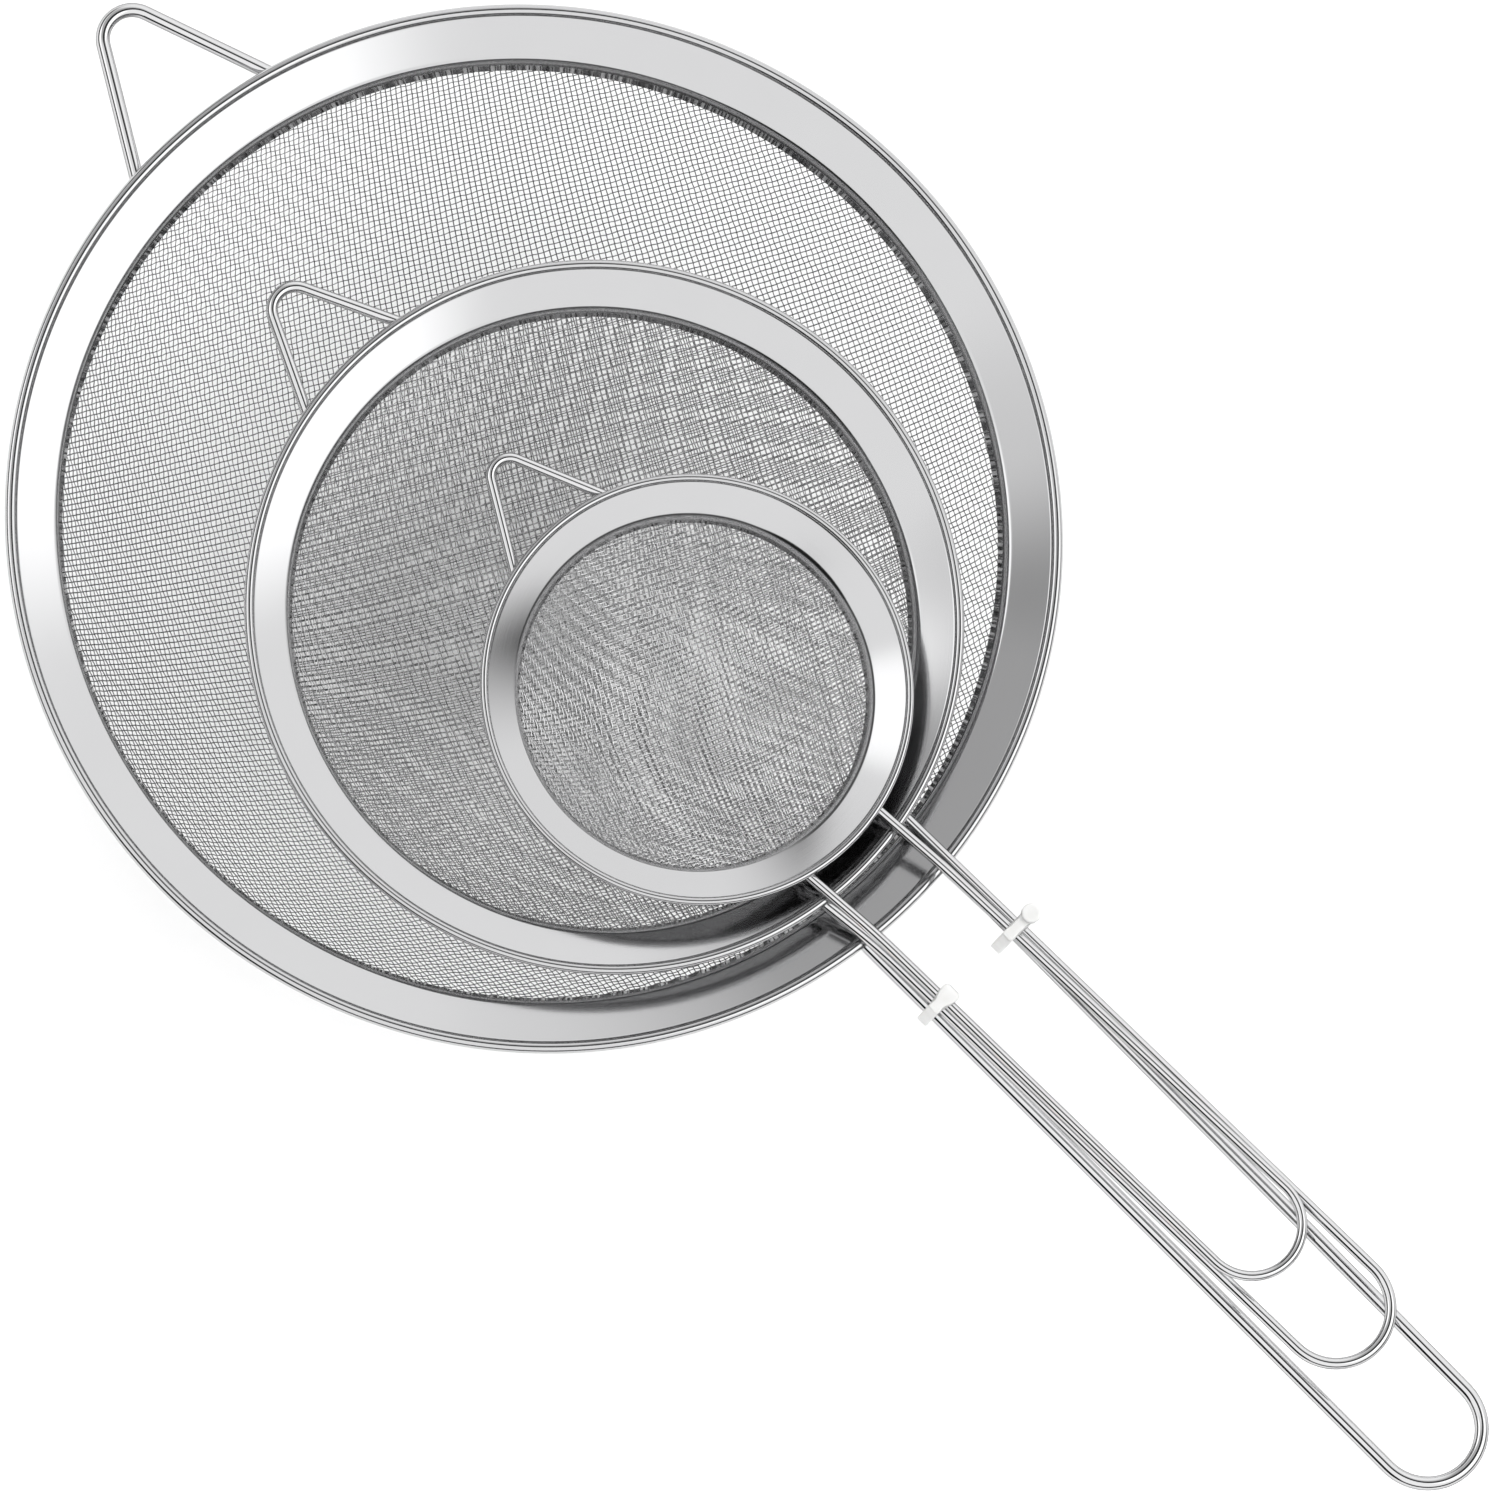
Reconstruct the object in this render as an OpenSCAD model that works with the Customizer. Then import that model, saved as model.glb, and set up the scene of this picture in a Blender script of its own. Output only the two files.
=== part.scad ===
// A nested set of three fine-mesh kitchen strainers. Each has a wide steel rim band, a woven mesh
// bowl, a handle bent from one wire and a wire rest hook. Two plastic clips hold the handles together.
// Frame: origin at the centre of the large rim, level with the top of its lip. +X runs out along the
// handles, +Z is up, and the bowls hang below. Units are millimetres.

/* [Rims] */
// Outside diameter of the large rim
large_rim_d = 200; // [190:1:210]
// Outside diameter of the medium rim
medium_rim_d = 136; // [130:1:142]
// Outside diameter of the small rim
small_rim_d = 82; // [78:0.5:86]
// Width of the large rim, lip included, seen from above
large_rim_w = 10; // [9:0.5:12]
// Width of the medium rim, lip included, seen from above
medium_rim_w = 8.5; // [7.5:0.1:9.5]
// Width of the small rim, lip included, seen from above
small_rim_w = 7.2; // [6.4:0.1:8]
// Downward slope of the large band towards its bowl, in degrees
large_band_slope = 16; // [14:1:25]
// Downward slope of the medium band towards its bowl, in degrees
medium_band_slope = 22; // [18:1:30]
// Downward slope of the small band towards its bowl, in degrees
small_band_slope = 30; // [24:1:35]
// Thickness of the rim sheet
sheet_t = 0.4; // [0.3:0.05:0.5]

/* [Bowls] */
// Depth of the large mesh bowl below its collar
large_bowl_depth = 60; // [50:1:70]
// Depth of the medium mesh bowl below its collar
medium_bowl_depth = 40; // [34:1:46]
// Depth of the small mesh bowl below its collar
small_bowl_depth = 25; // [20:1:28]
// Thickness that the woven mesh takes up
mesh_t = 0.6; // [0.5:0.1:0.8]

/* [Handles] */
// Reach of the large handle, from its rim's centre to its tip
large_handle_reach = 248.7; // [238:0.1:258]
// Reach of the medium handle, from its rim's centre to its tip
medium_handle_reach = 199.3; // [190:0.1:208]
// Reach of the small handle, from its rim's centre to its tip
small_handle_reach = 154.3; // [145:0.1:163]
// Wire diameter of the large handle and hook
large_wire_d = 2.65; // [2.4:0.05:2.8]
// Wire diameter of the medium handle and hook
medium_wire_d = 2.2; // [2:0.05:2.4]
// Wire diameter of the small handle and hook
small_wire_d = 1.95; // [1.7:0.05:2.1]

/* [Rest hooks] */
// How far the large hook stands out past its rim
large_hook_reach = 25.8; // [22:0.2:28]
// How far the medium hook stands out past its rim
medium_hook_reach = 19; // [17:0.2:22]
// How far the small hook stands out past its rim
small_hook_reach = 16.6; // [14:0.1:18]

/* [Nesting] */
// Centre of the medium rim along the handles
medium_x = 21.2; // [18:0.1:24]
// Centre of the medium rim across the handles
medium_y = -3.7; // [-5:0.1:0]
// Centre of the small rim along the handles
small_x = 43.1; // [40:0.1:46]
// Centre of the small rim across the handles
small_y = -1.9; // [-3:0.1:1]
// Clear gap between one strainer's wire and the rim under it
nest_gap = 0.3; // [0.2:0.05:0.5]

/* [Clips] */
// Where the clips sit along the handles
clip_x = 116.6; // [112:0.1:125]
// Length of a clip along the wires
clip_len = 3.8; // [3:0.2:5]
// Thickness of a clip's walls
clip_wall = 1.1; // [0.9:0.1:1.5]

/* [Hidden] */
$fn = 96;

// The three strainers, in the order of every list below.
LARGE = 0;
MEDIUM = 1;
SMALL = 2;

rim_r = [large_rim_d, medium_rim_d, small_rim_d] / 2;
rim_w = [large_rim_w, medium_rim_w, small_rim_w];
band_slope = [large_band_slope, medium_band_slope, small_band_slope];
bowl_depth = [large_bowl_depth, medium_bowl_depth, small_bowl_depth];
handle_reach = [large_handle_reach, medium_handle_reach, small_handle_reach];
wire_r = [large_wire_d, medium_wire_d, small_wire_d] / 2;
hook_reach = [large_hook_reach, medium_hook_reach, small_hook_reach];

// Rolled lip: outer radius of the curl. Its core wire fills the curl with a running gap.
curl_r = [1.1, 0.9, 0.75];
core_gap = 0.03;

// Inner collar: how far it leans in and how far down it goes below the band.
collar_lean = [1.3, 1.1, 0.9];
collar_drop = [3.4, 2.8, 2.3];
// Gap either side of the mesh where the collar and the clamp ring hold it, and how far below the
// collar's end the mesh turns in.
clamp_gap = 0.03;
turn_below = 0.4;

// Handle: distance between its wires at the rim, at the neck and at the loop, and how far the
// middle of the handle is off its rim's centre at each. The neck is where the wires run straight.
root_w = [22, 22.9, 18.4];
neck_w = [21.9, 21.4, 18.3];
loop_w = [21.1, 21.3, 19.65];
root_shift = [0.3, 2.9, -0.4];
neck_shift = [0.4, 4, 1];
loop_shift = [0.8, 7, 3.9];
neck_run = [12, 12, 15];

// Hooks: distance between their wires at the rim, centreline radius of the rounded tip, and direction.
hook_w = [31.9, 24.3, 22.3];
hook_tip_r = [5.7, 4.6, 3.7];
hook_turn = [174.6, 180.4, 176.3];

// Wire ends under the bands: bend radius, how far they run down the band, and the depth of the weld.
tail_bend_r = 4;
tail_len = [2.4, 2.6, 2];
weld_bite = 0.05;
wire_sides = 12;
bowl_steps = 18;
bend_steps = 4;
hook_steps = 10;
loop_steps = 20;

// Heights: each strainer's wires lie on the lip of the one below, so each lip stands higher.
lip_z1 = nest_gap + medium_wire_d + 2 * curl_r[MEDIUM];
lip_z2 = lip_z1 + nest_gap + small_wire_d + 2 * curl_r[SMALL];
place_at = [[0, 0, 0], [medium_x, medium_y, lip_z1], [small_x, small_y, lip_z2]];

// Everything below is in a strainer's own frame: its rim's centre, at the top of its lip.
function wire_z(i) = -2 * curl_r[i] - wire_r[i] + weld_bite;
function band_out_r(i) = rim_r[i] - 2 * curl_r[i] + sheet_t / 2;
function band_in_r(i) = rim_r[i] - rim_w[i];
function band_half_t(i) = sheet_t / 2 / cos(band_slope[i]);
function band_in_z(i) = -curl_r[i] - (band_out_r(i) - band_in_r(i)) * tan(band_slope[i]);
function collar_in_r(i) = band_in_r(i) - collar_lean[i];
function collar_in_z(i) = band_in_z(i) - collar_drop[i];

// The collar's length, and a gap square to it given as a distance straight out.
function collar_len(i) = norm([collar_lean[i], collar_drop[i]]);
function straight_out(i, gap) = gap * collar_len(i) / collar_drop[i];
function mesh_off(i) = straight_out(i, sheet_t / 2 + clamp_gap + mesh_t / 2);
function ring_off(i) = straight_out(i, sheet_t + mesh_t + 2 * clamp_gap);

// The mesh runs on past the collar's end before it turns in, and then hangs as a paraboloid.
function mesh_r(i) = collar_in_r(i) + mesh_off(i) - collar_lean[i] / collar_len(i) * turn_below;
function mesh_z(i) = collar_in_z(i) - collar_drop[i] / collar_len(i) * turn_below;
function bowl_point(i, share) =
    [mesh_r(i) * share, mesh_z(i) - bowl_depth[i] * (1 - share * share)];
function bowl_normal(i, share) =
    unit([-2 * bowl_depth[i] * share / mesh_r(i), 1]);

// A point on the inner (side 1) or outer (side -1) face of the mesh, kept off the far side of the axis.
function bowl_side(i, share, side) =
    let (p = bowl_point(i, share) + side * mesh_t / 2 * bowl_normal(i, share))
    [max(p.x, 0), p.y];

// Plan radius where a wire that lies under the band starts to bend down along it.
function bend_start_r(i) =
    band_out_r(i)
    - (curl_r[i] - band_half_t(i)) / tan(band_slope[i])
    + (wire_r[i] + tail_bend_r) * tan(band_slope[i] / 2);

module place(i) { translate(place_at[i]) children(); }

// ---------- sheet parts ----------

// A strip of sheet in the half plane (radius, height), from point a to point b.
module strip(a, b, t) {
    d = b - a;
    n = [-d.y, d.x] / norm(d) * t / 2;
    polygon([a - n, b - n, b + n, a + n]);
}

module rim_band(i) {
    band_out = [band_out_r(i), -curl_r[i]];
    band_in = [band_in_r(i), band_in_z(i)];
    collar_in = [collar_in_r(i), collar_in_z(i)];
    rotate_extrude() {
        translate([rim_r[i] - curl_r[i], -curl_r[i]]) difference() {
            circle(curl_r[i]);
            circle(curl_r[i] - sheet_t);
        }
        strip(band_out, band_in, sheet_t);
        strip(band_in + [0, sheet_t / 2], collar_in, sheet_t);
    }
}

module rim_core_wire(i) {
    rotate_extrude()
        translate([rim_r[i] - curl_r[i], -curl_r[i]])
            circle(curl_r[i] - sheet_t - core_gap);
}

// A strip parallel to the collar, off it outwards by the given distance.
module beside_collar(i, off, t, top, bottom) {
    down = [-collar_lean[i], -collar_drop[i]] / collar_len(i);
    start = [band_in_r(i) + off, band_in_z(i)];
    strip(start + down * top, start + down * bottom, t);
}

module mesh_clamp_ring(i) {
    rotate_extrude() beside_collar(i, ring_off(i), sheet_t, 0.9, collar_len(i) - 0.2);
}

module mesh_bowl(i) {
    rim_down = [for (k = [bowl_steps:-1:0]) k / bowl_steps];
    rotate_extrude() {
        beside_collar(i, mesh_off(i), mesh_t, 0.9, collar_len(i) + turn_below + mesh_t / 4);
        polygon(concat(
            [for (u = rim_down) bowl_side(i, u, 1)],
            [for (k = [0:bowl_steps]) bowl_side(i, k / bowl_steps, -1)]
        ));
    }
}

// ---------- wire parts ----------

function unit(v) = v / norm(v);

// Direction of a path at point k, averaged over the two stretches that meet there.
function along(path, k) =
    unit(path[min(k + 1, len(path) - 1)] - path[max(k - 1, 0)]);

// One ring of a wire's surface, square to the path. The paths never run straight up.
function ring(path, k, r) =
    let (t = along(path, k), side = unit(cross([0, 0, 1], t)), up = cross(t, side))
    [for (j = [0:wire_sides - 1])
        path[k] + r * (cos(360 * j / wire_sides) * side + sin(360 * j / wire_sides) * up)];

module wire(path, r) {
    n = wire_sides;
    rings = len(path);
    points = [for (k = [0:rings - 1]) each ring(path, k, r)];
    wall = [for (k = [0:rings - 2], j = [0:n - 1])
        let (a = k * n + j, b = k * n + (j + 1) % n)
        each [[a, b + n, b], [a, a + n, b + n]]];
    caps = [[for (j = [0:n - 1]) j], [for (j = [n - 1:-1:0]) (rings - 1) * n + j]];
    polyhedron(points, concat(caps, wall));
}

// A welded end: from a point under the rim it bends down and runs along the band.
// `inward` is a plan direction, and the list starts at the wire's end.
function tail(i, root, inward, slope) =
    let (
        flat = [for (k = [bend_steps:-1:0])
            let (a = slope * k / bend_steps)
            root + inward * tail_bend_r * sin(a) - [0, 0, tail_bend_r * (1 - cos(a))]],
        last = flat[0] + tail_len[i] * (inward * cos(slope) - [0, 0, sin(slope)])
    )
    concat([last], flat);

function mirrored(path) = [for (k = [len(path) - 1:-1:0]) path[k]];

// One handle wire from its weld to the start of the loop. `side` is 1 for +Y and -1 for -Y.
function handle_leg(i, side) =
    let (
        root_y = root_shift[i] + side * root_w[i] / 2,
        root_x = sqrt(pow(bend_start_r(i), 2) - root_y * root_y),
        root = [root_x, root_y, wire_z(i)],
        neck = [rim_r[i] + neck_run[i], neck_shift[i] + side * neck_w[i] / 2, wire_z(i)]
    )
    concat(tail(i, root, unit(root - neck), band_slope[i]), [neck]);

function loop_x(i) = handle_reach[i] - wire_r[i] - loop_w[i] / 2;

module handle_wire(i) {
    loop = [for (k = [0:loop_steps])
        let (a = 90 - 180 * k / loop_steps)
        [loop_x(i) + loop_w[i] / 2 * cos(a), loop_shift[i] + loop_w[i] / 2 * sin(a), wire_z(i)]];
    wire(concat(handle_leg(i, 1), loop, mirrored(handle_leg(i, -1))), wire_r[i]);
}

// Half the angle between a hook's wires: each is the tangent from its place on the rim to the tip's arc.
function hook_half_angle(i) =
    let (
        base_x = sqrt(pow(rim_r[i], 2) - pow(hook_w[i] / 2, 2)),
        run = rim_r[i] + hook_reach[i] - wire_r[i] - hook_tip_r[i] - base_x
    )
    atan2(hook_w[i] / 2, run) - asin(hook_tip_r[i] / norm([run, hook_w[i] / 2]));

// One hook wire, from its weld to the start of the tip's arc.
function hook_leg(i, side) =
    let (
        a = hook_half_angle(i),
        base = [sqrt(pow(rim_r[i], 2) - pow(hook_w[i] / 2, 2)), side * hook_w[i] / 2, wire_z(i)],
        inward = [-cos(a), side * sin(a), 0],
        b = base.x * inward.x + base.y * inward.y,
        run = -b - sqrt(b * b - pow(rim_r[i], 2) + pow(bend_start_r(i), 2)),
        slope = atan(-tan(band_slope[i]) * b / rim_r[i])
    )
    tail(i, base + inward * run, inward, slope);

module rest_hook(i) {
    a = 90 - hook_half_angle(i);
    tip_x = rim_r[i] + hook_reach[i] - wire_r[i] - hook_tip_r[i];
    tip = [for (k = [0:hook_steps])
        let (b = a - 2 * a * k / hook_steps)
        [tip_x + hook_tip_r[i] * cos(b), hook_tip_r[i] * sin(b), wire_z(i)]];
    rotate([0, 0, hook_turn[i]])
        wire(concat(hook_leg(i, 1), tip, mirrored(hook_leg(i, -1))), wire_r[i]);
}

// ---------- clips ----------

// A clip is a saddle that drops over the stacked wires. It is open below, so it lifts straight off.
// The right one has a round button on its roof.
clip_gap = 0.3;
clip_low_z = wire_z(LARGE) - wire_r[LARGE] - 0.5;
clip_slot_z = place_at[SMALL].z + wire_z(SMALL) + wire_r[SMALL] + clip_gap;
clip_top_z = clip_slot_z + clip_wall;
clip_round = 0.5;
knob_r = 1.85;
knob_rise = 1.2;

// Height of one strainer's wire centre across the handles, at the clips.
function wire_y_at_clip(i, side) =
    let (
        x = clip_x - place_at[i].x,
        x0 = rim_r[i] + neck_run[i],
        y0 = neck_shift[i] + side * neck_w[i] / 2,
        y1 = loop_shift[i] + side * loop_w[i] / 2
    )
    place_at[i].y + y0 + (y1 - y0) * (x - x0) / (loop_x(i) - x0);

function clip_slot(side) = [
    min([for (i = [LARGE:SMALL]) wire_y_at_clip(i, side) - wire_r[i]]) - clip_gap,
    max([for (i = [LARGE:SMALL]) wire_y_at_clip(i, side) + wire_r[i]]) + clip_gap
];

module clip_saddle(side) {
    slot = clip_slot(side);
    translate([clip_x - clip_len / 2, 0, 0]) rotate([90, 0, 90]) linear_extrude(clip_len) difference() {
        translate([slot[0] - clip_wall, clip_low_z])
            offset(clip_round, $fn = 24) offset(-clip_round)
                square([slot[1] - slot[0] + 2 * clip_wall, clip_top_z - clip_low_z]);
        translate([slot[0], clip_low_z - 1])
            square([slot[1] - slot[0], clip_slot_z - clip_low_z + 1]);
    }
}

// ---------- sub-parts ----------

module large_rim_band() { color("silver") place(LARGE) rim_band(LARGE); }
module large_rim_core_wire() { color("dimgray") place(LARGE) rim_core_wire(LARGE); }
module large_mesh_clamp_ring() { color("gray") place(LARGE) mesh_clamp_ring(LARGE); }
module large_mesh_bowl() { color("darkgray") place(LARGE) mesh_bowl(LARGE); }
module large_handle_wire() { color("silver") place(LARGE) handle_wire(LARGE); }
module large_rest_hook() { color("silver") place(LARGE) rest_hook(LARGE); }

module medium_rim_band() { color("silver") place(MEDIUM) rim_band(MEDIUM); }
module medium_rim_core_wire() { color("dimgray") place(MEDIUM) rim_core_wire(MEDIUM); }
module medium_mesh_clamp_ring() { color("gray") place(MEDIUM) mesh_clamp_ring(MEDIUM); }
module medium_mesh_bowl() { color("darkgray") place(MEDIUM) mesh_bowl(MEDIUM); }
module medium_handle_wire() { color("silver") place(MEDIUM) handle_wire(MEDIUM); }
module medium_rest_hook() { color("silver") place(MEDIUM) rest_hook(MEDIUM); }

module small_rim_band() { color("silver") place(SMALL) rim_band(SMALL); }
module small_rim_core_wire() { color("dimgray") place(SMALL) rim_core_wire(SMALL); }
module small_mesh_clamp_ring() { color("gray") place(SMALL) mesh_clamp_ring(SMALL); }
module small_mesh_bowl() { color("darkgray") place(SMALL) mesh_bowl(SMALL); }
module small_handle_wire() { color("silver") place(SMALL) handle_wire(SMALL); }
module small_rest_hook() { color("silver") place(SMALL) rest_hook(SMALL); }

module right_handle_clip() {
    color("whitesmoke") {
        clip_saddle(1);
        translate([clip_x, clip_slot(1)[1] + clip_wall + 1 - knob_r, clip_slot_z])
            cylinder(r = knob_r, h = clip_wall + knob_rise);
    }
}

module left_handle_clip() { color("whitesmoke") clip_saddle(-1); }

large_rim_band();
large_rim_core_wire();
large_mesh_clamp_ring();
large_mesh_bowl();
large_handle_wire();
large_rest_hook();
medium_rim_band();
medium_rim_core_wire();
medium_mesh_clamp_ring();
medium_mesh_bowl();
medium_handle_wire();
medium_rest_hook();
small_rim_band();
small_rim_core_wire();
small_mesh_clamp_ring();
small_mesh_bowl();
small_handle_wire();
small_rest_hook();
right_handle_clip();
left_handle_clip();
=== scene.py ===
import math
import bmesh
import bpy
import numpy as np
from mathutils import Matrix, Vector


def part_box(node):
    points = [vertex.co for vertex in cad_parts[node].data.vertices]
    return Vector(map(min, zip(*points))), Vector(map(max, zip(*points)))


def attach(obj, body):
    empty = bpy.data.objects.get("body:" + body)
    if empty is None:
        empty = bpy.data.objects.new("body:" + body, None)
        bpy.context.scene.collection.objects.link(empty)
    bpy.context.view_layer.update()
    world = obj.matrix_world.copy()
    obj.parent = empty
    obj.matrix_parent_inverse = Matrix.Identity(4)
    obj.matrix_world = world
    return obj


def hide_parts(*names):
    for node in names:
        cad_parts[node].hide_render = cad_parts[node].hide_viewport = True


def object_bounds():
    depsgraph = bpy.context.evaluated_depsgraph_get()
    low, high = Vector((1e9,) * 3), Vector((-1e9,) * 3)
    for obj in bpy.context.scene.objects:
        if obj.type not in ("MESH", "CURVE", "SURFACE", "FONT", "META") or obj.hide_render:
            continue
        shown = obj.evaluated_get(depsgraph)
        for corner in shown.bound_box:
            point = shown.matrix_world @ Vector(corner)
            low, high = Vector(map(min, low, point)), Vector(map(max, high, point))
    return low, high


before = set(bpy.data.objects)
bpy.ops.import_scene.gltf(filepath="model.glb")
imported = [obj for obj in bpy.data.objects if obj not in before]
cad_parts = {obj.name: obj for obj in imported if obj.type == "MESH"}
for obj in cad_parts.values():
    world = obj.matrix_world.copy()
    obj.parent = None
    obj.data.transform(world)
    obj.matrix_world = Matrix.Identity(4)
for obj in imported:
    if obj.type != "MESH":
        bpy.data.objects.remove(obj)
cad_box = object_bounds()

MM = 0.001

# Sizes in mm, as in part.scad
SHEET = 0.4         # the rims' sheet
WIRE_BITE = 0.05    # how far a welded wire sinks into the sheet
CLAMP_GAP = 0.03    # gap on each side of the cloth's edge
MESH_T = 0.6        # thickness of the cloth
TURN_BELOW = 0.4    # where the bowl starts, below the collar
TAIL_BEND = 4.0     # bend radius of a wire's end under the band
CLIP_WALL = 1.1
KNOB_R = 1.85
KNOB_RISE = 1.2     # the knob above its clip's roof
KNOB_OVER = 1.0     # the knob past its clip's end

RIM_STEPS = 300
WEAVE_TURN = math.radians(63)

# Each strainer's own frame is its rim's centre, at the top of its lip. at: its place in the set.
# rim: outer radius. width, slope: the band's, seen from above and in degrees. depth: the bowl's.
# curl: radius of the lip. lean, drop: how far the collar goes inwards and down.
# wire: radius of the wires. reach: the handle's tip. tail: the wires' straight ends.
# root, neck, loop: widths between the handle's two wires and their shift sideways; the neck's
# third number is its distance from the rim. hook: width, reach, radius of its tip, turn in degrees.
# pitch, strand: spacing and radius of the cloth's wires. parts: pieces in each direction.
STRAINERS = {
    "large": dict(
        at=(0.0, 0.0, 0.0), rim=100.0, width=10.0, slope=16, depth=60.0,
        curl=1.1, lean=1.3, drop=3.4, wire=1.325, reach=248.7, tail=2.4,
        root=(22.0, 0.3), neck=(21.9, 0.4, 12.0), loop=(21.1, 0.8),
        hook=(31.9, 25.8, 5.7, 174.6), pitch=1.25, strand=0.115, parts=4),
    "medium": dict(
        at=(21.2, -3.7, 4.3), rim=68.0, width=8.5, slope=22, depth=40.0,
        curl=0.9, lean=1.1, drop=2.8, wire=1.1, reach=199.3, tail=2.6,
        root=(22.9, 2.9), neck=(21.4, 4.0, 12.0), loop=(21.3, 7.0),
        hook=(24.3, 19.0, 4.6, 180.4), pitch=1.15, strand=0.12, parts=2),
    "small": dict(
        at=(43.1, -1.9, 8.05), rim=41.0, width=7.2, slope=30, depth=25.0,
        curl=0.75, lean=0.9, drop=2.3, wire=0.975, reach=154.3, tail=2.0,
        root=(18.4, -0.4), neck=(18.3, 1.0, 15.0), loop=(19.65, 3.9),
        hook=(22.3, 16.6, 3.7, 176.3), pitch=1.05, strand=0.12, parts=1),
}


# ---------- shapes ----------

def unit(v):
    v = np.asarray(v, float)
    return v / np.linalg.norm(v)


def unit_rows(v):
    return v / np.linalg.norm(v, axis=1)[:, None]


def work_out(s):
    """Adds the radii and heights of one strainer's band, collar, cloth's edge and clamp ring."""
    s["slope"] = slope = math.radians(s["slope"])
    s["wire_z"] = -2 * s["curl"] - s["wire"] + WIRE_BITE
    s["band_in"] = s["rim"] - s["width"]
    band_out = s["rim"] - 2 * s["curl"] + SHEET / 2
    s["band_in_z"] = -s["curl"] - (band_out - s["band_in"]) * math.tan(slope)
    s["collar_r"] = s["band_in"] - s["lean"]
    s["collar_z"] = s["band_in_z"] - s["drop"]
    s["edge"] = math.hypot(s["lean"], s["drop"])
    s["down"] = np.array([-s["lean"], -s["drop"]]) / s["edge"]
    straight = s["edge"] / s["drop"]
    s["ring_off"] = (SHEET + MESH_T + 2 * CLAMP_GAP) * straight
    mesh_off = (SHEET / 2 + CLAMP_GAP + MESH_T / 2) * straight
    s["mesh_r"] = s["collar_r"] + mesh_off + s["down"][0] * TURN_BELOW
    s["mesh_z"] = s["collar_z"] + s["down"][1] * TURN_BELOW
    half = SHEET / 2 / math.cos(slope)
    s["bend_r"] = (band_out - (s["curl"] - half) / math.tan(slope)
                   + (s["wire"] + TAIL_BEND) * math.tan(slope / 2))


for s in STRAINERS.values():
    work_out(s)


def install(name, mesh, material, body, node):
    """An object of a mesh that rides a body and replaces a CAD node, if it has one."""
    mesh.materials.append(material)
    ob = bpy.data.objects.new(name, mesh)
    bpy.context.scene.collection.objects.link(ob)
    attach(ob, body)
    if node:
        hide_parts(node)
    return ob


def add_piece(name, verts, quads, material, key, node, uv=None):
    """A piece of one strainer, from vertices in mm in the strainer's own frame, and quads."""
    verts = (np.asarray(verts, float) + STRAINERS[key]["at"]) * MM
    quads = np.asarray(quads, np.int32)
    mesh = bpy.data.meshes.new(name)
    mesh.vertices.add(len(verts))
    mesh.vertices.foreach_set("co", verts.ravel())
    mesh.loops.add(quads.size)
    mesh.loops.foreach_set("vertex_index", quads.ravel())
    mesh.polygons.add(len(quads))
    mesh.polygons.foreach_set("loop_start", np.arange(0, quads.size, 4, dtype=np.int32))
    mesh.polygons.foreach_set("use_smooth", np.ones(len(quads), bool))
    if uv is not None:
        layer = mesh.uv_layers.new(name="OFBake")
        layer.data.foreach_set("uv", np.asarray(uv, np.float32).ravel())
    mesh.update(calc_edges=True)
    install(name, mesh, material, key + "_strainer", node)


def revolve(profile, steps):
    """Vertices and quads of a closed (radius, height) outline turned about Z."""
    n = len(profile)
    a = np.arange(steps) * 2 * math.pi / steps
    x = np.outer(np.cos(a), profile[:, 0])
    y = np.outer(np.sin(a), profile[:, 0])
    z = np.tile(profile[:, 1], (steps, 1))
    verts = np.stack([x, y, z], -1).reshape(-1, 3)
    i, j = np.meshgrid(np.arange(steps), np.arange(n), indexing="ij")
    i2, j2 = (i + 1) % steps, (j + 1) % n
    quads = np.stack([i * n + j, i2 * n + j, i2 * n + j2, i * n + j2], -1)
    return verts, quads.reshape(-1, 4)


def thicken(line, t):
    """Closed outline of a sheet of thickness t about a (radius, height) centreline."""
    line = np.asarray(line, float)
    d = unit_rows(np.gradient(line, axis=0))
    side = np.stack([-d[:, 1], d[:, 0]], -1) * t / 2
    return np.vstack([line - side, (line + side)[::-1]])


def bend(start, corner, end, w):
    """Points of the curve that leaves `start` towards `corner` and comes from there to `end`."""
    return (1 - w) ** 2 * start + 2 * w * (1 - w) * corner + w * w * end


def rounded(start, corner, end, reach, steps):
    """A line with one corner, which is replaced by a curve that begins `reach` before it."""
    start, corner, end = (np.asarray(p, float) for p in (start, corner, end))
    w = np.linspace(0, 1, steps)[:, None]
    curve = bend(corner + unit(start - corner) * reach, corner,
                 corner + unit(end - corner) * reach, w)
    return np.vstack([start, curve, end])


def closed_tube(rings, sides):
    """Quads of a tube of rings of vertices, closed at both ends. `sides` is even."""
    i, c = np.divmod(np.arange((rings - 1) * sides), sides)
    a, b = i * sides + c, i * sides + (c + 1) % sides
    wall = np.stack([a + sides, b + sides, b, a], -1)
    cap = np.array([[k - 1, k, sides - 1 - k, (sides - k) % sides] for k in range(1, sides // 2)])
    return np.vstack([wall, cap, (rings - 1) * sides + cap[:, ::-1]])


# ---------- materials ----------

def add_node(tree, kind, inputs=None, **settings):
    """A shader node with its settings and its unlinked inputs."""
    node = tree.nodes.new("ShaderNode" + kind)
    for key, value in settings.items():
        setattr(node, key, value)
    for key, value in (inputs or {}).items():
        node.inputs[key].default_value = value
    return node


def new_material(name, inputs):
    """A material, its node tree and its Principled shader with plain inputs set."""
    material = bpy.data.materials.new(name)
    material.use_nodes = True
    shader = material.node_tree.nodes["Principled BSDF"]
    for key, value in inputs.items():
        shader.inputs[key].default_value = value
    return material, material.node_tree, shader


def noise(tree, source, scale, **inputs):
    made = add_node(tree, "TexNoise", {"Scale": scale, **inputs})
    tree.links.new(source, made.inputs["Vector"])
    return made.outputs[0]


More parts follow.
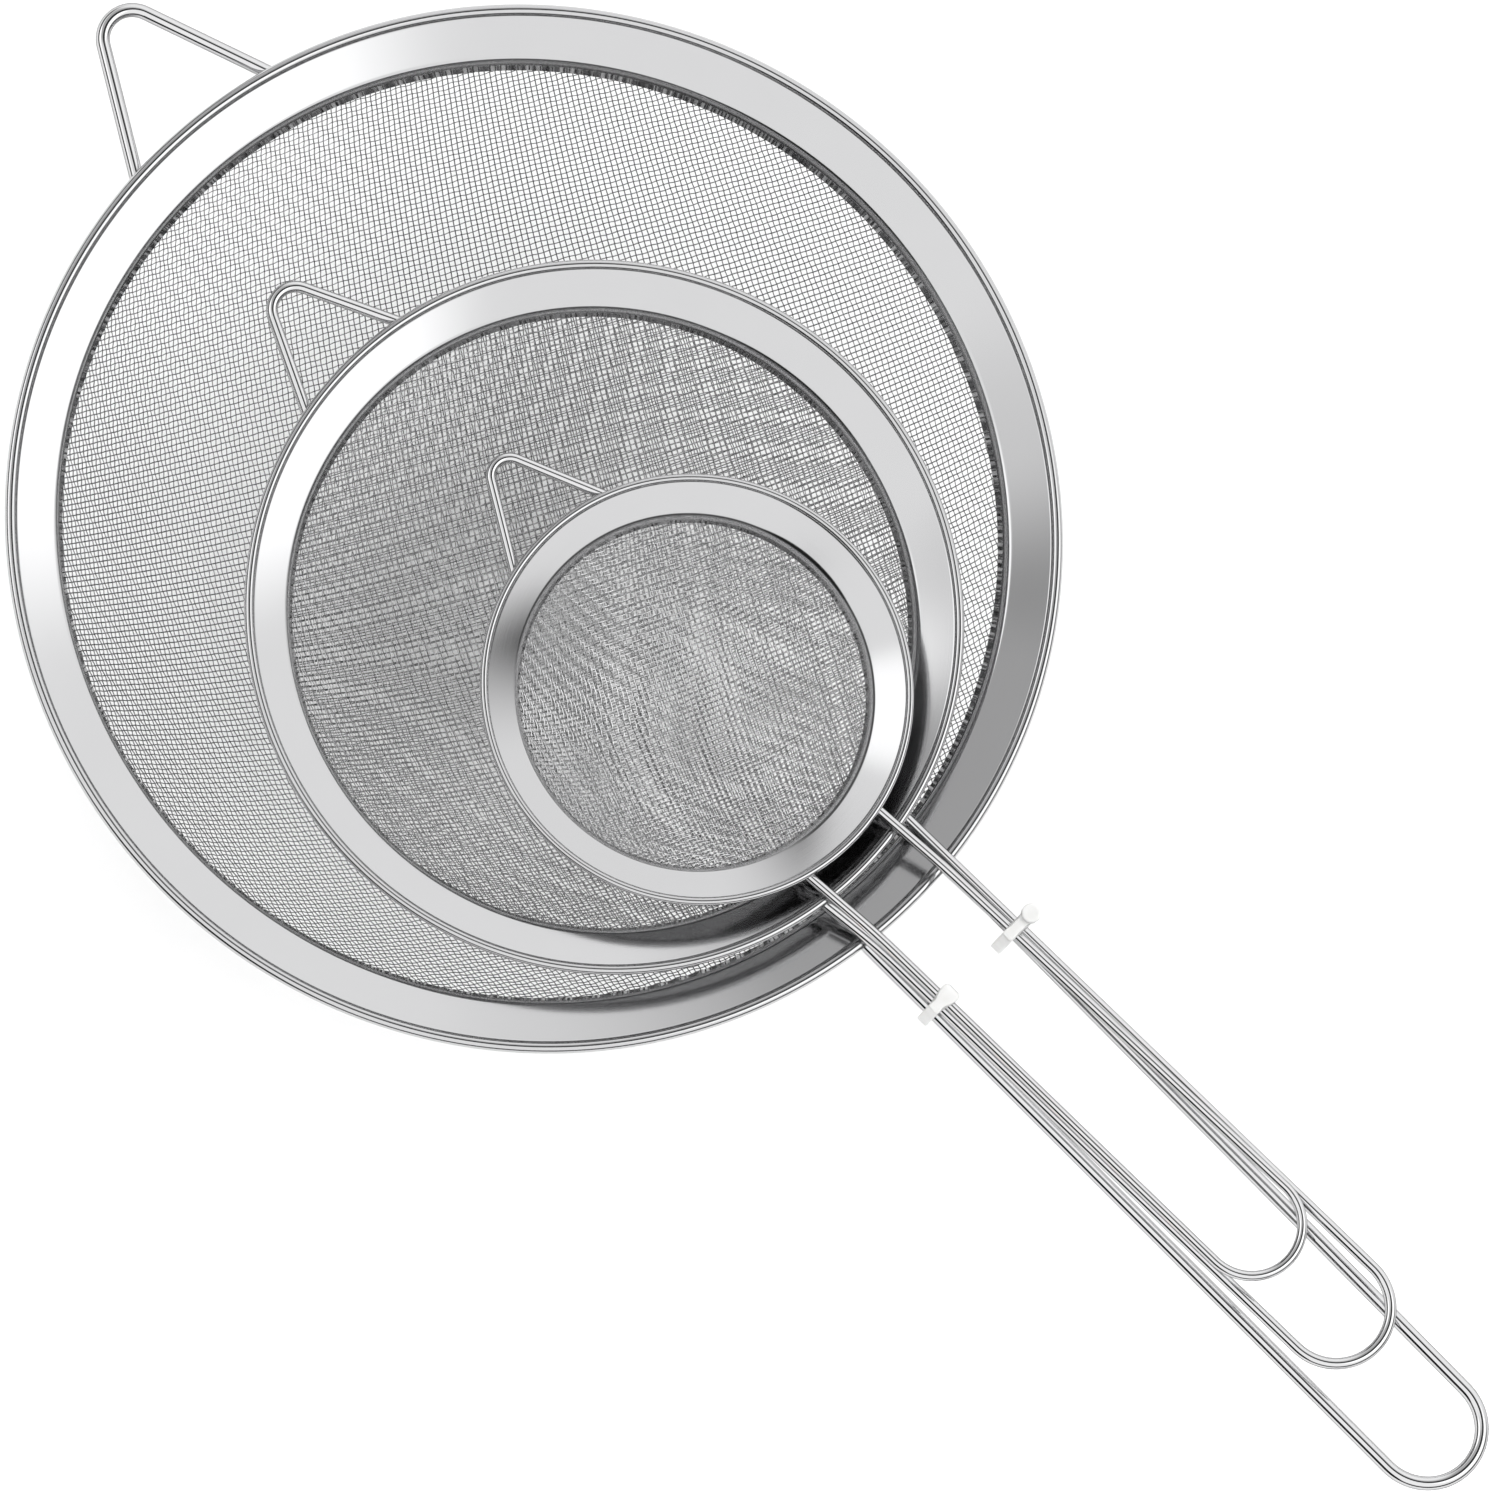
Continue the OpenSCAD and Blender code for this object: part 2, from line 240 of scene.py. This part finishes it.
def spread(tree, source, low, high):
    """A value from 0 to 1 turned into one from low to high."""
    made = add_node(tree, "MapRange", {"To Min": low, "To Max": high})
    tree.links.new(source, made.inputs["Value"])
    return made.outputs[0]


def roughen(tree, shader, source, strength, distance):
    bump = add_node(tree, "Bump", {"Strength": strength, "Distance": distance})
    tree.links.new(source, bump.inputs["Height"])
    tree.links.new(bump.outputs[0], shader.inputs["Normal"])


def turned_coordinates(tree, source, centre):
    """Distance from the upright axis through a centre in mm, and height: marks run round it."""
    shift = add_node(tree, "VectorMath", {1: [v * MM for v in centre]}, operation="SUBTRACT")
    split = add_node(tree, "SeparateXYZ")
    flat = add_node(tree, "CombineXYZ")
    radius = add_node(tree, "VectorMath", operation="LENGTH")
    line = add_node(tree, "CombineXYZ")
    for a, b in ((source, shift.inputs[0]), (shift.outputs[0], split.inputs[0]),
                 (split.outputs["X"], flat.inputs["X"]), (split.outputs["Y"], flat.inputs["Y"]),
                 (flat.outputs[0], radius.inputs[0]), (radius.outputs["Value"], line.inputs["X"]),
                 (split.outputs["Z"], line.inputs["Y"])):
        tree.links.new(a, b)
    return line.outputs[0]


def steel(name, colour, rough, grain, scratch=0.0, mottling=0.05, edge=1.0, turned=None):
    """Stainless steel, with fine marks that run round the centre `turned` (mm) if it has one."""
    material, tree, shader = new_material(
        name, {"Metallic": 1.0, "Specular Tint": (edge, edge, edge, 1)})
    place = add_node(tree, "TexCoord").outputs["Object"]
    if turned:
        fine = noise(tree, turned_coordinates(tree, place, turned), 9000, Detail=2)
    else:
        fine = noise(tree, place, 2500, Detail=2)
    tone = spread(tree, noise(tree, place, 90, Detail=3), 1 - mottling, 1.0)
    paint = add_node(tree, "Mix", {"Factor": 1.0}, data_type="RGBA", blend_type="MULTIPLY")
    paint.inputs["A"].default_value = (*colour, 1)
    tree.links.new(tone, paint.inputs["B"])
    tree.links.new(paint.outputs["Result"], shader.inputs["Base Color"])
    tree.links.new(spread(tree, fine, rough - grain, rough + grain), shader.inputs["Roughness"])
    if scratch:
        roughen(tree, shader, fine, scratch, 0.00002)
    return material


def nylon(name):
    """Natural translucent nylon with a faint moulded texture."""
    material, tree, shader = new_material(name, {
        "Roughness": 0.34, "IOR": 1.53, "Subsurface Weight": 0.35,
        "Subsurface Radius": (0.002, 0.002, 0.002), "Subsurface Scale": 1.0})
    place = add_node(tree, "TexCoord").outputs["Object"]
    ramp = add_node(tree, "ValToRGB")
    dark, light = ramp.color_ramp.elements
    dark.position, dark.color = 0.3, (0.575, 0.575, 0.565, 1)
    light.position, light.color = 0.7, (0.615, 0.615, 0.61, 1)
    tree.links.new(noise(tree, place, 350), ramp.inputs[0])
    tree.links.new(ramp.outputs[0], shader.inputs["Base Color"])
    roughen(tree, shader, noise(tree, place, 3000), 0.15, 0.00003)
    return material


BAND_STEEL = {key: steel("band_steel_" + key, (0.48, 0.48, 0.485), 0.12, 0.04, scratch=0.08,
                         mottling=0.03, turned=s["at"]) for key, s in STRAINERS.items()}
WIRE_STEEL = steel("wire_steel", (0.58, 0.58, 0.585), 0.035, 0.015, scratch=0.015, edge=0.0)
# One stainless cloth in three tones: painted shade darkens the large bowl's strands and painted
# light brightens the small bowl's, standing in for how light falls through the nested bowls
CLOTH_STEEL_PAINTED_LIGHT_AND_SHADE = {key: steel("cloth_steel_painted_light_and_shade_" + key, (v, v, v + 0.005), 0.10, 0.03,
                          mottling=0.12, edge=0.0)
               for key, v in (("large", 0.32), ("medium", 0.56), ("small", 0.80))}
# Duller, rougher steel for the clamp rings and rim core wires, and darker than the band's steel as
# painted shade under the lip
PLAIN_STEEL_PAINTED_SHADE = steel("plain_steel", (0.34, 0.34, 0.35), 0.33, 0.08, scratch=0.2, mottling=0.1)
WELD_STEEL = steel("weld_steel", (0.36, 0.35, 0.34), 0.42, 0.1, scratch=0.3, mottling=0.25)
NYLON = nylon("natural_nylon")


# ---------- rim bands ----------

LIP_FROM = 154      # where round the lip the sheet's curl begins and ends, in degrees
LIP_TO = -138
COLLAR_FOLD = 0.8   # how far from their corners the sheet's two folds begin
LIP_FOLD = 0.45


def band_line(s):
    """Centreline of the rim's sheet: up the collar, over the fold, up the band, round the lip."""
    centre = np.array([s["rim"] - s["curl"], -s["curl"]])
    r = s["curl"] - SHEET / 2
    a = np.radians(np.linspace(LIP_FROM, LIP_TO, 34))
    lip = centre + r * np.stack([np.cos(a), np.sin(a)], -1)
    flat = rounded((s["collar_r"], s["collar_z"]), (s["band_in"], s["band_in_z"]),
                   centre - [r, 0], COLLAR_FOLD, 7)
    corner = flat[-1]
    before = corner - unit(corner - flat[-2]) * LIP_FOLD
    fold = bend(before, corner + [0.02, 0.0], lip[0], np.linspace(0, 1, 7)[:-1, None])
    return np.vstack([flat[:-1], fold, lip])


for key, s in STRAINERS.items():
    verts, quads = revolve(thicken(band_line(s), SHEET), RIM_STEPS)
    add_piece(key + "_rim", verts, quads, BAND_STEEL[key], key, key + "_rim_band")


# ---------- clamp rings ----------

CLAMP_TOP = 0.92    # the ring's ends, along the collar from its top and before its foot
CLAMP_FOOT = 0.22

for key, s in STRAINERS.items():
    top = np.array([s["band_in"] + s["ring_off"], s["band_in_z"]])
    line = [top + s["down"] * w for w in np.linspace(CLAMP_TOP, s["edge"] - CLAMP_FOOT, 6)]
    verts, quads = revolve(thicken(line, SHEET), RIM_STEPS)
    add_piece(key + "_clamp", verts, quads, PLAIN_STEEL_PAINTED_SHADE, key,
              key + "_mesh_clamp_ring")

for key in STRAINERS:
    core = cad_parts[key + "_rim_core_wire"]
    core.data.materials.clear()
    core.data.materials.append(PLAIN_STEEL_PAINTED_SHADE)


# ---------- woven cloth ----------

CLOTH_SHORT = 1.15  # the cloth's edge stops this far below the collar's top


def cloth_profile(s):
    """Distance along the cloth from the bowl's middle, and the radius and height there."""
    share = np.linspace(0, 1, 400)
    up = -np.linspace(0, s["edge"] + TURN_BELOW - CLOTH_SHORT, 12)[1:, None] * s["down"]
    r = np.append(s["mesh_r"] * share, s["mesh_r"] + up[:, 0])
    z = np.append(s["mesh_z"] - s["depth"] * (1 - share * share), s["mesh_z"] + up[:, 1])
    along = np.append(0, np.cumsum(np.hypot(np.diff(r), np.diff(z))))
    return along, r, z


def cloth_point(profile, u, v, lift):
    """Points of the cloth at flat places (u, v), lifted towards the inside, and the normals."""
    along, r, z = profile
    d = np.hypot(u, v)
    a = np.arctan2(v, u) + WEAVE_TURN
    turn = np.stack([np.cos(a), np.sin(a)], -1)
    slope = [np.interp(d, along, np.gradient(q, along)) for q in (r, z)]
    normal = unit_rows(np.column_stack([-slope[1][:, None] * turn, slope[0]]))
    point = np.column_stack([np.interp(d, along, r)[:, None] * turn, np.interp(d, along, z)])
    return point + normal * lift[:, None], normal


def strand_uv(row, rows, n):
    """Bake UVs of a strand of n rings: a row of four strips, with a small box for each end."""
    i, c = np.divmod(np.arange((n - 1) * 4), 4)
    strip = 0.9 / rows / 4
    u, u2 = i / (n - 1), (i + 1) / (n - 1)
    v, v2 = row / rows + c * strip, row / rows + (c + 1) * strip
    wall = np.stack([u, v, u, v2, u2, v2, u2, v], -1)
    low, high = (row + 0.93) / rows, (row + 0.98) / rows
    ends = [[x, low, x + 0.002, low, x + 0.002, high, x, high] for x in (0.0, 0.998)]
    return np.vstack([wall, ends])


def strands(s, warp, first, last):
    """Vertices, quads and bake UVs of the strands of one direction with numbers first to last."""
    profile = cloth_profile(s)
    reach, pitch, r = profile[0][-1], s["pitch"], s["strand"]
    rows = last - first + 1
    verts, quads, uv, base = [], [], [], 0
    for j in range(first, last + 1):
        offset = j * pitch
        if abs(offset) > reach - pitch:
            continue
        half = int(math.sqrt(reach * reach - offset * offset) / (pitch / 2))
        if half < 2:
            continue
        # Twill: over two, under two, with a point at each crossing and one between
        k = np.arange(-half, half + 1)
        here, after = (np.where((k // 2 + step + j) % 4 < 2, 1.0, -1.0) for step in (0, 1))
        lift = np.where(k % 2 == 0, here, (here + after) / 2) * (-1 if warp else 1)
        u, v = k * pitch / 2, np.full(len(k), float(offset))
        path, normal = cloth_point(profile, *((v, u) if warp else (u, v)), lift * r)
        along = unit_rows(np.gradient(path, axis=0))
        side = unit_rows(np.cross(normal, along))
        up = np.cross(along, side)
        ring = np.stack([path + up * r, path + side * r, path - up * r, path - side * r], 1)
        verts.append(ring.reshape(-1, 3))
        quads.append(closed_tube(len(path), 4)[:, ::-1] + base)
        uv.append(strand_uv(j - first, rows, len(path)))
        base += len(path) * 4
    return np.vstack(verts), np.vstack(quads), np.vstack(uv)


for key, s in STRAINERS.items():
    reach = cloth_profile(s)[0][-1]
    count = int(reach / s["pitch"])
    # Strand numbers split so that each piece has about the same length of strand
    j = np.arange(-count, count + 1)
    chord = np.sqrt(np.maximum(reach ** 2 - (j * s["pitch"]) ** 2, 0))
    share = np.cumsum(chord) / chord.sum()
    for direction in ("weft", "warp"):
        for part in range(s["parts"]):
            mine = j[(share > part / s["parts"]) & (share <= (part + 1) / s["parts"] + 1e-9)]
            verts, quads, uv = strands(s, direction == "warp", int(mine[0]), int(mine[-1]))
            add_piece(f"{key}_cloth_{direction}_{part + 1}", verts, quads, CLOTH_STEEL_PAINTED_LIGHT_AND_SHADE[key], key,
                      key + "_mesh_bowl", uv)


# ---------- handle and hook wires ----------

ROD_SIDES = 24
# A rod's softened ends: distance from the end and radius, both as shares of its radius
ROD_END = ((0.0, 0.55), (0.14, 0.86), (0.45, 1.0))
NECK_EASE = 5.0     # how far from the neck the handle's bend begins

# A spot weld's middle, as shares of the wire's straight end and radius, and its half sizes along
# the wire, across it and upwards, as shares of that radius
WELD_ALONG, WELD_UP = 0.55, 0.78
WELD_HALF = (1.15, 0.98, 0.24)


def sweep(path, r):
    """Vertices and quads of a round rod along a path."""
    inward, outward = unit(path[1] - path[0]), unit(path[-2] - path[-1])
    head = [path[0] + inward * w * r for w, _ in ROD_END]
    tail = [path[-1] + outward * w * r for w, _ in reversed(ROD_END)]
    path = np.vstack([head, path[1:-1], tail])
    radii = np.full(len(path), r)
    for k, (_, share) in enumerate(ROD_END):
        radii[[k, -1 - k]] = share * r
    steps = unit_rows(np.diff(path, axis=0))
    d = unit_rows(np.vstack([steps[0], steps[1:] + steps[:-1], steps[-1]]))
    side = unit_rows(np.cross([0, 0, 1], d))
    up = np.cross(d, side)
    t = np.arange(ROD_SIDES)[None, :, None] * 2 * math.pi / ROD_SIDES
    ring = (path[:, None] + radii[:, None, None]
            * (np.cos(t) * side[:, None] + np.sin(t) * up[:, None]))
    return ring.reshape(-1, 3), closed_tube(len(path), ROD_SIDES)


def welded_end(s, root, inward, slope):
    """A wire's end from its tip to the root, bent down by a slope to lie under the band."""
    a = slope * np.linspace(1, 0, 9)[:, None]
    flat = root + inward * TAIL_BEND * np.sin(a) - np.array([0, 0, TAIL_BEND]) * (1 - np.cos(a))
    tip = flat[0] + s["tail"] * (inward * math.cos(slope) - np.array([0, 0, math.sin(slope)]))
    return np.vstack([tip, flat])


def handle_path(s):
    """Centreline of a handle's wire: out along one side, round the loop and back."""
    loop_r, z = s["loop"][0] / 2, s["wire_z"]
    loop_x = s["reach"] - s["wire"] - loop_r
    legs = []
    for side in (1, -1):
        y = s["root"][1] + side * s["root"][0] / 2
        root = np.array([math.sqrt(s["bend_r"] ** 2 - y * y), y, z])
        neck = np.array([s["rim"] + s["neck"][2], s["neck"][1] + side * s["neck"][0] / 2, z])
        top = np.array([loop_x, s["loop"][1] + side * loop_r, z])
        ease = rounded(root, neck, top, NECK_EASE, 5)[1:-1]
        legs.append(np.vstack([welded_end(s, root, unit(root - neck), s["slope"]), ease]))
    a = np.radians(np.linspace(90, -90, 49))
    loop = np.stack([loop_x + loop_r * np.cos(a), s["loop"][1] + loop_r * np.sin(a),
                     np.full(len(a), z)], -1)
    return np.vstack([legs[0], loop, legs[1][::-1]])


def hook_path(s):
    """Centreline of a rest hook's wire, turned to its place opposite the handle."""
    width, reach, tip_r, turn = s["hook"]
    z = s["wire_z"]
    base_x = math.sqrt(s["rim"] ** 2 - (width / 2) ** 2)
    tip_x = s["rim"] + reach - s["wire"] - tip_r
    run = tip_x - base_x
    half = math.atan2(width / 2, run) - math.asin(tip_r / math.hypot(run, width / 2))
    legs = []
    for side in (1, -1):
        base = np.array([base_x, side * width / 2, z])
        inward = np.array([-math.cos(half), side * math.sin(half), 0])
        b = base[:2] @ inward[:2]
        go = -b - math.sqrt(b * b - s["rim"] ** 2 + s["bend_r"] ** 2)
        slope = math.atan(-math.tan(s["slope"]) * b / s["rim"])
        legs.append(welded_end(s, base + inward * go, inward, slope))
    a = (math.pi / 2 - half) * np.linspace(1, -1, 25)
    tip = np.stack([tip_x + tip_r * np.cos(a), tip_r * np.sin(a), np.full(len(a), z)], -1)
    path = np.vstack([legs[0], tip, legs[1][::-1]])
    c, d = math.cos(math.radians(turn)), math.sin(math.radians(turn))
    return path @ np.array([[c, d, 0], [-d, c, 0], [0, 0, 1]])


def weld(end, before, s):
    """Vertices and quads of the flattened nugget where a wire's end is welded under the band."""
    d = unit(before - end)
    out = unit(end[:2])
    up = unit(np.append(-out * math.sin(s["slope"]), math.cos(s["slope"])))
    side = np.cross(up, d)
    centre = end + d * s["tail"] * WELD_ALONG + up * s["wire"] * WELD_UP
    rows, cols = 9, 16
    e = (np.arange(rows)[:, None, None] + 0.5) * math.pi / rows
    a = np.arange(cols)[None, :, None] * 2 * math.pi / cols
    along, across, high = WELD_HALF
    verts = centre + s["wire"] * (up * high * np.cos(e) + np.sin(e) * (
        d * along * np.cos(a) + side * across * np.sin(a)))
    return verts.reshape(-1, 3), closed_tube(rows, cols)


for key, s in STRAINERS.items():
    weld_verts, weld_quads, base = [], [], 0
    for kind, path in (("handle_wire", handle_path(s)), ("rest_hook", hook_path(s))):
        verts, quads = sweep(path, s["wire"])
        add_piece(f"{key}_{kind.split('_')[0]}_rod", verts, quads, WIRE_STEEL, key,
                  f"{key}_{kind}")
        for end, before in ((path[0], path[1]), (path[-1], path[-2])):
            verts, quads = weld(end, before, s)
            weld_verts.append(verts)
            weld_quads.append(quads + base)
            base += len(verts)
    add_piece(key + "_spot_welds", np.vstack(weld_verts), np.vstack(weld_quads), WELD_STEEL, key,
              None)


# ---------- handle clips ----------

# Width of each clip, as shares of its full width, at these shares of the way from its foot
CLIP_PLACES = [0, 0.14, 0.30, 0.62, 0.80, 0.95, 1]
CLIP_WIDTHS = {True: [0.60, 0.64, 0.54, 0.56, 0.72, 0.72, 0.70],
               False: [0.60, 0.64, 0.54, 0.92, 1.0, 0.92, 0.68]}
# A clip's rings from side to side: shares of its half width, and how far the outline is drawn in
CLIP_RINGS = [(-1, 0.34), (-0.97, 0.16), (-0.88, 0.04), (-0.7, 0),
              (0.7, 0), (0.88, 0.04), (0.97, 0.16), (1, 0.34)]
# The knob's outline: shares of its radius and height
KNOB_SHAPE = [(0.3, 0), (0.84, 0), (0.95, 0.05), (0.98, 0.14), (0.92, 0.4), (0.92, 0.52),
              (1.0, 0.68), (1.0, 0.84), (0.95, 0.94), (0.84, 0.99), (0.6, 1.0), (0.3, 0.97)]


def bridge(bm, rings):
    """Faces that join rings of points in mm, and one on each end."""
    rings = [[bm.verts.new(p * MM) for p in ring] for ring in rings]
    for a, b in zip(rings, rings[1:]):
        for k in range(len(a)):
            n = (k + 1) % len(a)
            bm.faces.new([a[k], a[n], b[n], b[k]])
    bm.faces.new(rings[0])
    bm.faces.new(rings[-1])


def clip(name, node, body, knob):
    """A saddle over the wires, narrow at its foot towards -Y, with or without a knob at +Y."""
    lo, hi = [np.array(c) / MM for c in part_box(node)]
    middle, low, foot = (lo[0] + hi[0]) / 2, lo[2], lo[1]
    top = hi[2] - (KNOB_RISE if knob else 0.0)
    run = hi[1] - (KNOB_OVER if knob else 0.0) - foot
    ceiling = top - CLIP_WALL
    w = np.linspace(0, 1, 19)
    outline = [(x * run, top - 0.35 * (2 * x - 1) ** 8) for x in w]
    outline += [(run, low + 0.2), (run - 0.3, low), (run - CLIP_WALL, low)]
    outline += [(CLIP_WALL + (run - 2 * CLIP_WALL) * x, ceiling) for x in w[::-1]]
    outline += [(CLIP_WALL, low), (0.3, low), (0, low + 0.2)]
    outline = np.array(outline)
    back = unit_rows(np.roll(outline, 1, 0) - outline)
    ahead = unit_rows(np.roll(outline, -1, 0) - outline)
    slant = unit_rows(ahead - back)
    into = np.stack([slant[:, 1], -slant[:, 0]], -1)
    half = np.interp(outline[:, 0] / run, CLIP_PLACES, CLIP_WIDTHS[knob]) * (hi[0] - lo[0]) / 2
    rings = []
    for x, inset in CLIP_RINGS:
        q = outline + into * inset
        rings.append(np.stack([middle + x * half, foot + q[:, 0], q[:, 1]], -1))
    bm = bmesh.new()
    bridge(bm, rings)
    if knob:
        a = np.arange(40) * 2 * math.pi / 40
        ring = np.stack([np.cos(a), np.sin(a), np.zeros(len(a))], -1) * KNOB_R
        start = ceiling + 0.02
        bridge(bm, [ring * q + [middle, hi[1] - KNOB_R, start + (hi[2] - start) * z]
                    for q, z in KNOB_SHAPE])
    bmesh.ops.recalc_face_normals(bm, faces=bm.faces)
    mesh = bpy.data.meshes.new(name)
    bm.to_mesh(mesh)
    bm.free()
    for p in mesh.polygons:
        p.use_smooth = True
    ob = install(name, mesh, NYLON, body, node)
    ob.modifiers.new("weighted", "WEIGHTED_NORMAL").keep_sharp = True


clip("right_clip_body", "right_handle_clip", "right_clip", True)
clip("left_clip_body", "left_handle_clip", "left_clip", False)


# ---------- camera ----------

# The camera leans a little from straight above; its three axes in the shared frame
BACK = unit((0.0231, -0.2359, 0.9715))
RIGHT = np.array((0.7045, 0.6933, 0.1517))
RIGHT = unit(RIGHT - BACK * (RIGHT @ BACK))
RIGHT = unit(RIGHT + 0.0035 * np.cross(BACK, RIGHT))
UP = np.cross(BACK, RIGHT)

LOOK_AT = Vector((0.05727, -0.00178, -0.00014))
CAMERA_AWAY = 3.9

camera_data = bpy.data.cameras.new("camera")
camera_data.sensor_width = 36
camera_data.lens = 500.7
camera = bpy.data.objects.new("camera", camera_data)
bpy.context.scene.collection.objects.link(camera)
camera_axes = Matrix((RIGHT, UP, BACK)).transposed().to_4x4()
camera.matrix_world = Matrix.Translation(LOOK_AT + Vector(BACK) * CAMERA_AWAY) @ camera_axes
bpy.context.scene.camera = camera
bpy.context.scene.view_settings.view_transform = "Standard"


# ---------- floor and light ----------

FLOOR_SIZE = 12
FLOOR_TONE = 0.90

bpy.ops.mesh.primitive_plane_add(size=FLOOR_SIZE, location=(0, 0, cad_box[0][2]))
floor = bpy.context.object
floor.name = "floor"
floor.data.materials.append(new_material("paper", {
    "Base Color": (FLOOR_TONE, FLOOR_TONE, FLOOR_TONE, 1), "Roughness": 1.0,
    "Specular IOR Level": 0.0})[0])

SKY = 1.46          # the sky's brightness, before the patches
SKY_LEAST = 0.02
BACKDROP = 1.0      # what the camera sees behind the floor
# Soft patches that the steel mirrors: angle round the view axis (0 is right in the picture,
# counter-clockwise) and off it, radius of the even middle and of the whole, all in degrees,
# and the brightness that they add
PATCHES = ((4, 44, 15, 27, 0.9),
           (97, 43, 19, 29, -0.79),
           (140, 26, 5, 13, -0.25),
           (152, 52, 9, 20, 0.70),
           (49, 31, 14, 19, -1.6),
           (228, 59, 18, 24, -1.6))
WINDOW = (57, 88, 26, 62, 1.4)
# The sky is darker near the horizon: heights (sine of elevation) of the dark and of the full part
HORIZON = (0.36, 0.46)
HORIZON_SHARE = 0.08


def smooth_step(tree, source, from_min, from_max, to_min, to_max):
    made = add_node(tree, "MapRange", {
        "From Min": from_min, "From Max": from_max, "To Min": to_min, "To Max": to_max},
        interpolation_type="SMOOTHSTEP")
    tree.links.new(source, made.inputs["Value"])
    return made.outputs[0]


def patch(tree, direction, across, off_axis, middle, whole, amount):
    """Brightness that one patch adds in a direction of the sky."""
    a, z = math.radians(across), math.radians(off_axis)
    towards = (RIGHT * math.cos(a) + UP * math.sin(a)) * math.sin(z) + BACK * math.cos(z)
    dot = add_node(tree, "VectorMath", {1: unit(towards)}, operation="DOT_PRODUCT")
    tree.links.new(direction, dot.inputs[0])
    return smooth_step(tree, dot.outputs["Value"], math.cos(math.radians(whole)),
                       math.cos(math.radians(middle)), 0.0, amount)


def combine(tree, operation, a, b):
    """A Math node's result for a socket or number a, and b."""
    made = add_node(tree, "Math", operation=operation)
    for value, socket in ((a, made.inputs[0]), (b, made.inputs[1])):
        if isinstance(value, float):
            socket.default_value = value
        else:
            tree.links.new(value, socket)
    return made.outputs[0]


world = bpy.data.worlds.new("studio")
bpy.context.scene.world = world
world.use_nodes = True
tree = world.node_tree
direction = add_node(tree, "TexCoord").outputs["Generated"]
sky = SKY
for numbers in PATCHES:
    sky = combine(tree, "ADD", sky, patch(tree, direction, *numbers))
height = add_node(tree, "SeparateXYZ")
tree.links.new(direction, height.inputs[0])
sky = combine(tree, "MULTIPLY", sky,
              smooth_step(tree, height.outputs["Z"], *HORIZON, HORIZON_SHARE, 1.0))
sky = combine(tree, "MAXIMUM", sky, patch(tree, direction, *WINDOW))
sky = combine(tree, "MAXIMUM", sky, SKY_LEAST)
pick = add_node(tree, "Mix", data_type="FLOAT")
pick.inputs["B"].default_value = BACKDROP
tree.links.new(add_node(tree, "LightPath").outputs["Is Camera Ray"], pick.inputs["Factor"])
tree.links.new(sky, pick.inputs["A"])
backdrop = tree.nodes["Background"]
backdrop.inputs["Color"].default_value = (1, 1, 1, 1)
tree.links.new(pick.outputs["Result"], backdrop.inputs["Strength"])

LIGHT_AIM = Vector((0.05, 0, -0.05))


def floor_light(name, place, size, power):
    """A large area light that lights the floor but isn't mirrored in the steel."""
    data = bpy.data.lights.new(name, "AREA")
    data.shape = "SQUARE"
    data.size = size
    data.energy = power
    ob = bpy.data.objects.new(name, data)
    bpy.context.scene.collection.objects.link(ob)
    ob.location = place
    ob.rotation_euler = (LIGHT_AIM - Vector(place)).to_track_quat("-Z", "Y").to_euler()
    ob.visible_glossy = False


for k, (x, y) in enumerate(((1.4, 1.4), (-1.4, 1.4), (1.4, -1.4), (-1.4, -1.4))):
    floor_light(f"floor_light_{k + 1}", (x, y, 1.5), 1.6, 12)
